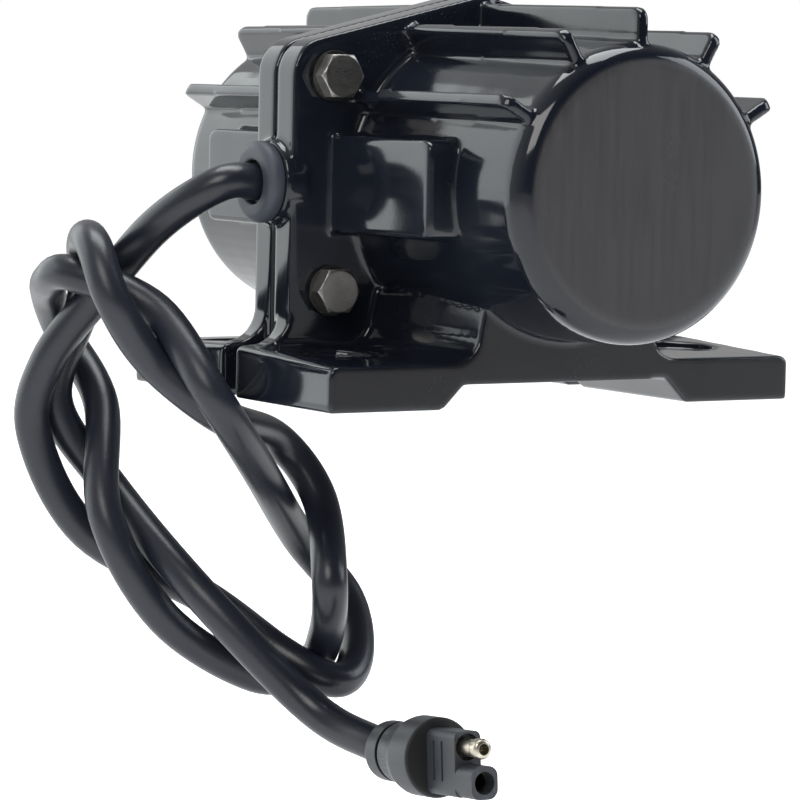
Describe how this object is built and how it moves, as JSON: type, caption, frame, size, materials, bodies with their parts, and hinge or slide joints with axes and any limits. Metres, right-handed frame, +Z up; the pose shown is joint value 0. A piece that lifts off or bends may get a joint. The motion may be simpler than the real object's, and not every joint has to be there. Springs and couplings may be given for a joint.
{
  "type": "vibrator motor",
  "caption": "Foot-mounted rotary vibrator motor: finned split die-cast housing, eccentric weights on a brushed DC rotor, and a flexible cable with a two-pole connector.",
  "frame": {"origin": "centre of the four mounting holes, on the plane that the feet stand on", "axes": "+Y along the rotor axis from the near cup to the far cup, +Z up out of the mounting face, +X across the motor away from the cable entry"},
  "size_m": [0.1622, 0.1586, 0.1845],
  "materials": {
    "housing_coat": "gloss black coat over a die casting, satin on the end faces",
    "gasket_rubber": "matte",
    "bolt_steel": "bright stainless with a warm tone",
    "washer_steel": "bright stainless",
    "grommet_rubber": "satin moulded rubber",
    "cable_jacket": "satin black sheath",
    "yoke_steel": "drawn steel",
    "ferrite": "matte sintered ferrite",
    "bearing_steel": "ground",
    "cage_brass": "pressed",
    "spring_steel": "drawn",
    "phenolic_board": "laminated board",
    "holder_brass": "folded sheet",
    "lead_insulation": "insulated wire",
    "shaft_steel": "ground",
    "lamination_steel": "stacked sheet",
    "copper": "enamelled wire and turned copper",
    "weight_iron": "cast",
    "screw_black": "black oxide",
    "brush_carbon": "graphite",
    "plug_plastic": "moulded, dark blue-grey",
    "plug_nickel": "warm nickel"
  },
  "bodies": {
    "housing": {"near_housing": "housing_coat", "far_housing": "housing_coat", "flange_gasket": "gasket_rubber", "flange_bolt_1": "bolt_steel", "flange_bolt_2": "bolt_steel", "flange_bolt_3": "bolt_steel", "flange_bolt_4": "bolt_steel", "flange_nut_1": "bolt_steel", "flange_nut_2": "bolt_steel", "flange_nut_3": "bolt_steel", "flange_nut_4": "bolt_steel", "bolt_washer_1": "washer_steel", "bolt_washer_2": "washer_steel", "bolt_washer_3": "washer_steel", "bolt_washer_4": "washer_steel", "nut_washer_1": "washer_steel", "nut_washer_2": "washer_steel", "nut_washer_3": "washer_steel", "nut_washer_4": "washer_steel", "cable_grommet": "grommet_rubber", "cable_tail": "cable_jacket", "power_cable": "cable_jacket", "yoke_ring": "yoke_steel", "magnet_top": "ferrite", "magnet_bottom": "ferrite", "near_outer_race": "bearing_steel", "far_outer_race": "bearing_steel", "bearing_wave_washer": "spring_steel", "brush_spring_left": "spring_steel", "brush_spring_right": "spring_steel", "brush_plate": "phenolic_board", "brush_holder_left": "holder_brass", "brush_holder_right": "holder_brass", "lead_left": "lead_insulation", "lead_right": "lead_insulation", "plug_boot": "plug_plastic", "plug_body": "plug_plastic", "plug_pin": "plug_nickel", "plug_contact": "plug_nickel"},
    "rotor": {"rotor_shaft": "shaft_steel", "armature_core": "lamination_steel", "armature_windings": "copper", "commutator": "copper", "near_weight": "weight_iron", "far_weight": "weight_iron", "near_weight_screw": "screw_black", "far_weight_screw": "screw_black", "near_spacer": "shaft_steel", "far_spacer": "shaft_steel", "near_inner_race": "bearing_steel", "far_inner_race": "bearing_steel"},
    "near_cage": {"near_ball_cage": "cage_brass", "near_balls": "bearing_steel"},
    "far_cage": {"far_ball_cage": "cage_brass", "far_balls": "bearing_steel"},
    "brush_left": {"brush_left": "brush_carbon"},
    "brush_right": {"brush_right": "brush_carbon"}
  },
  "joints": [
    {"name": "rotor_spin", "type": "hinge", "parent": "housing", "child": "rotor", "pos_m": [0, 0, 0.0506], "axis": [0, 1, 0], "continuous": true},
    {"name": "near_cage_spin", "type": "hinge", "parent": "housing", "child": "near_cage", "pos_m": [0, 0, 0.0506], "axis": [0, 1, 0], "continuous": true},
    {"name": "far_cage_spin", "type": "hinge", "parent": "housing", "child": "far_cage", "pos_m": [0, 0, 0.0506], "axis": [0, 1, 0], "continuous": true},
    {"name": "brush_left_slide", "type": "slide", "parent": "housing", "child": "brush_left", "axis": [-1, 0, 0], "range_m": [0, 0.003], "stiffness_N_per_m": 200, "springref_m": -0.002, "deforming": ["brush_spring_left"]},
    {"name": "brush_right_slide", "type": "slide", "parent": "housing", "child": "brush_right", "axis": [1, 0, 0], "range_m": [0, 0.003], "stiffness_N_per_m": 200, "springref_m": -0.002, "deforming": ["brush_spring_right"]}
  ],
  "couplings": [
    {"joint": "near_cage_spin", "follows": "rotor_spin", "ratio": 0.382},
    {"joint": "far_cage_spin", "follows": "rotor_spin", "ratio": 0.382}
  ]
}
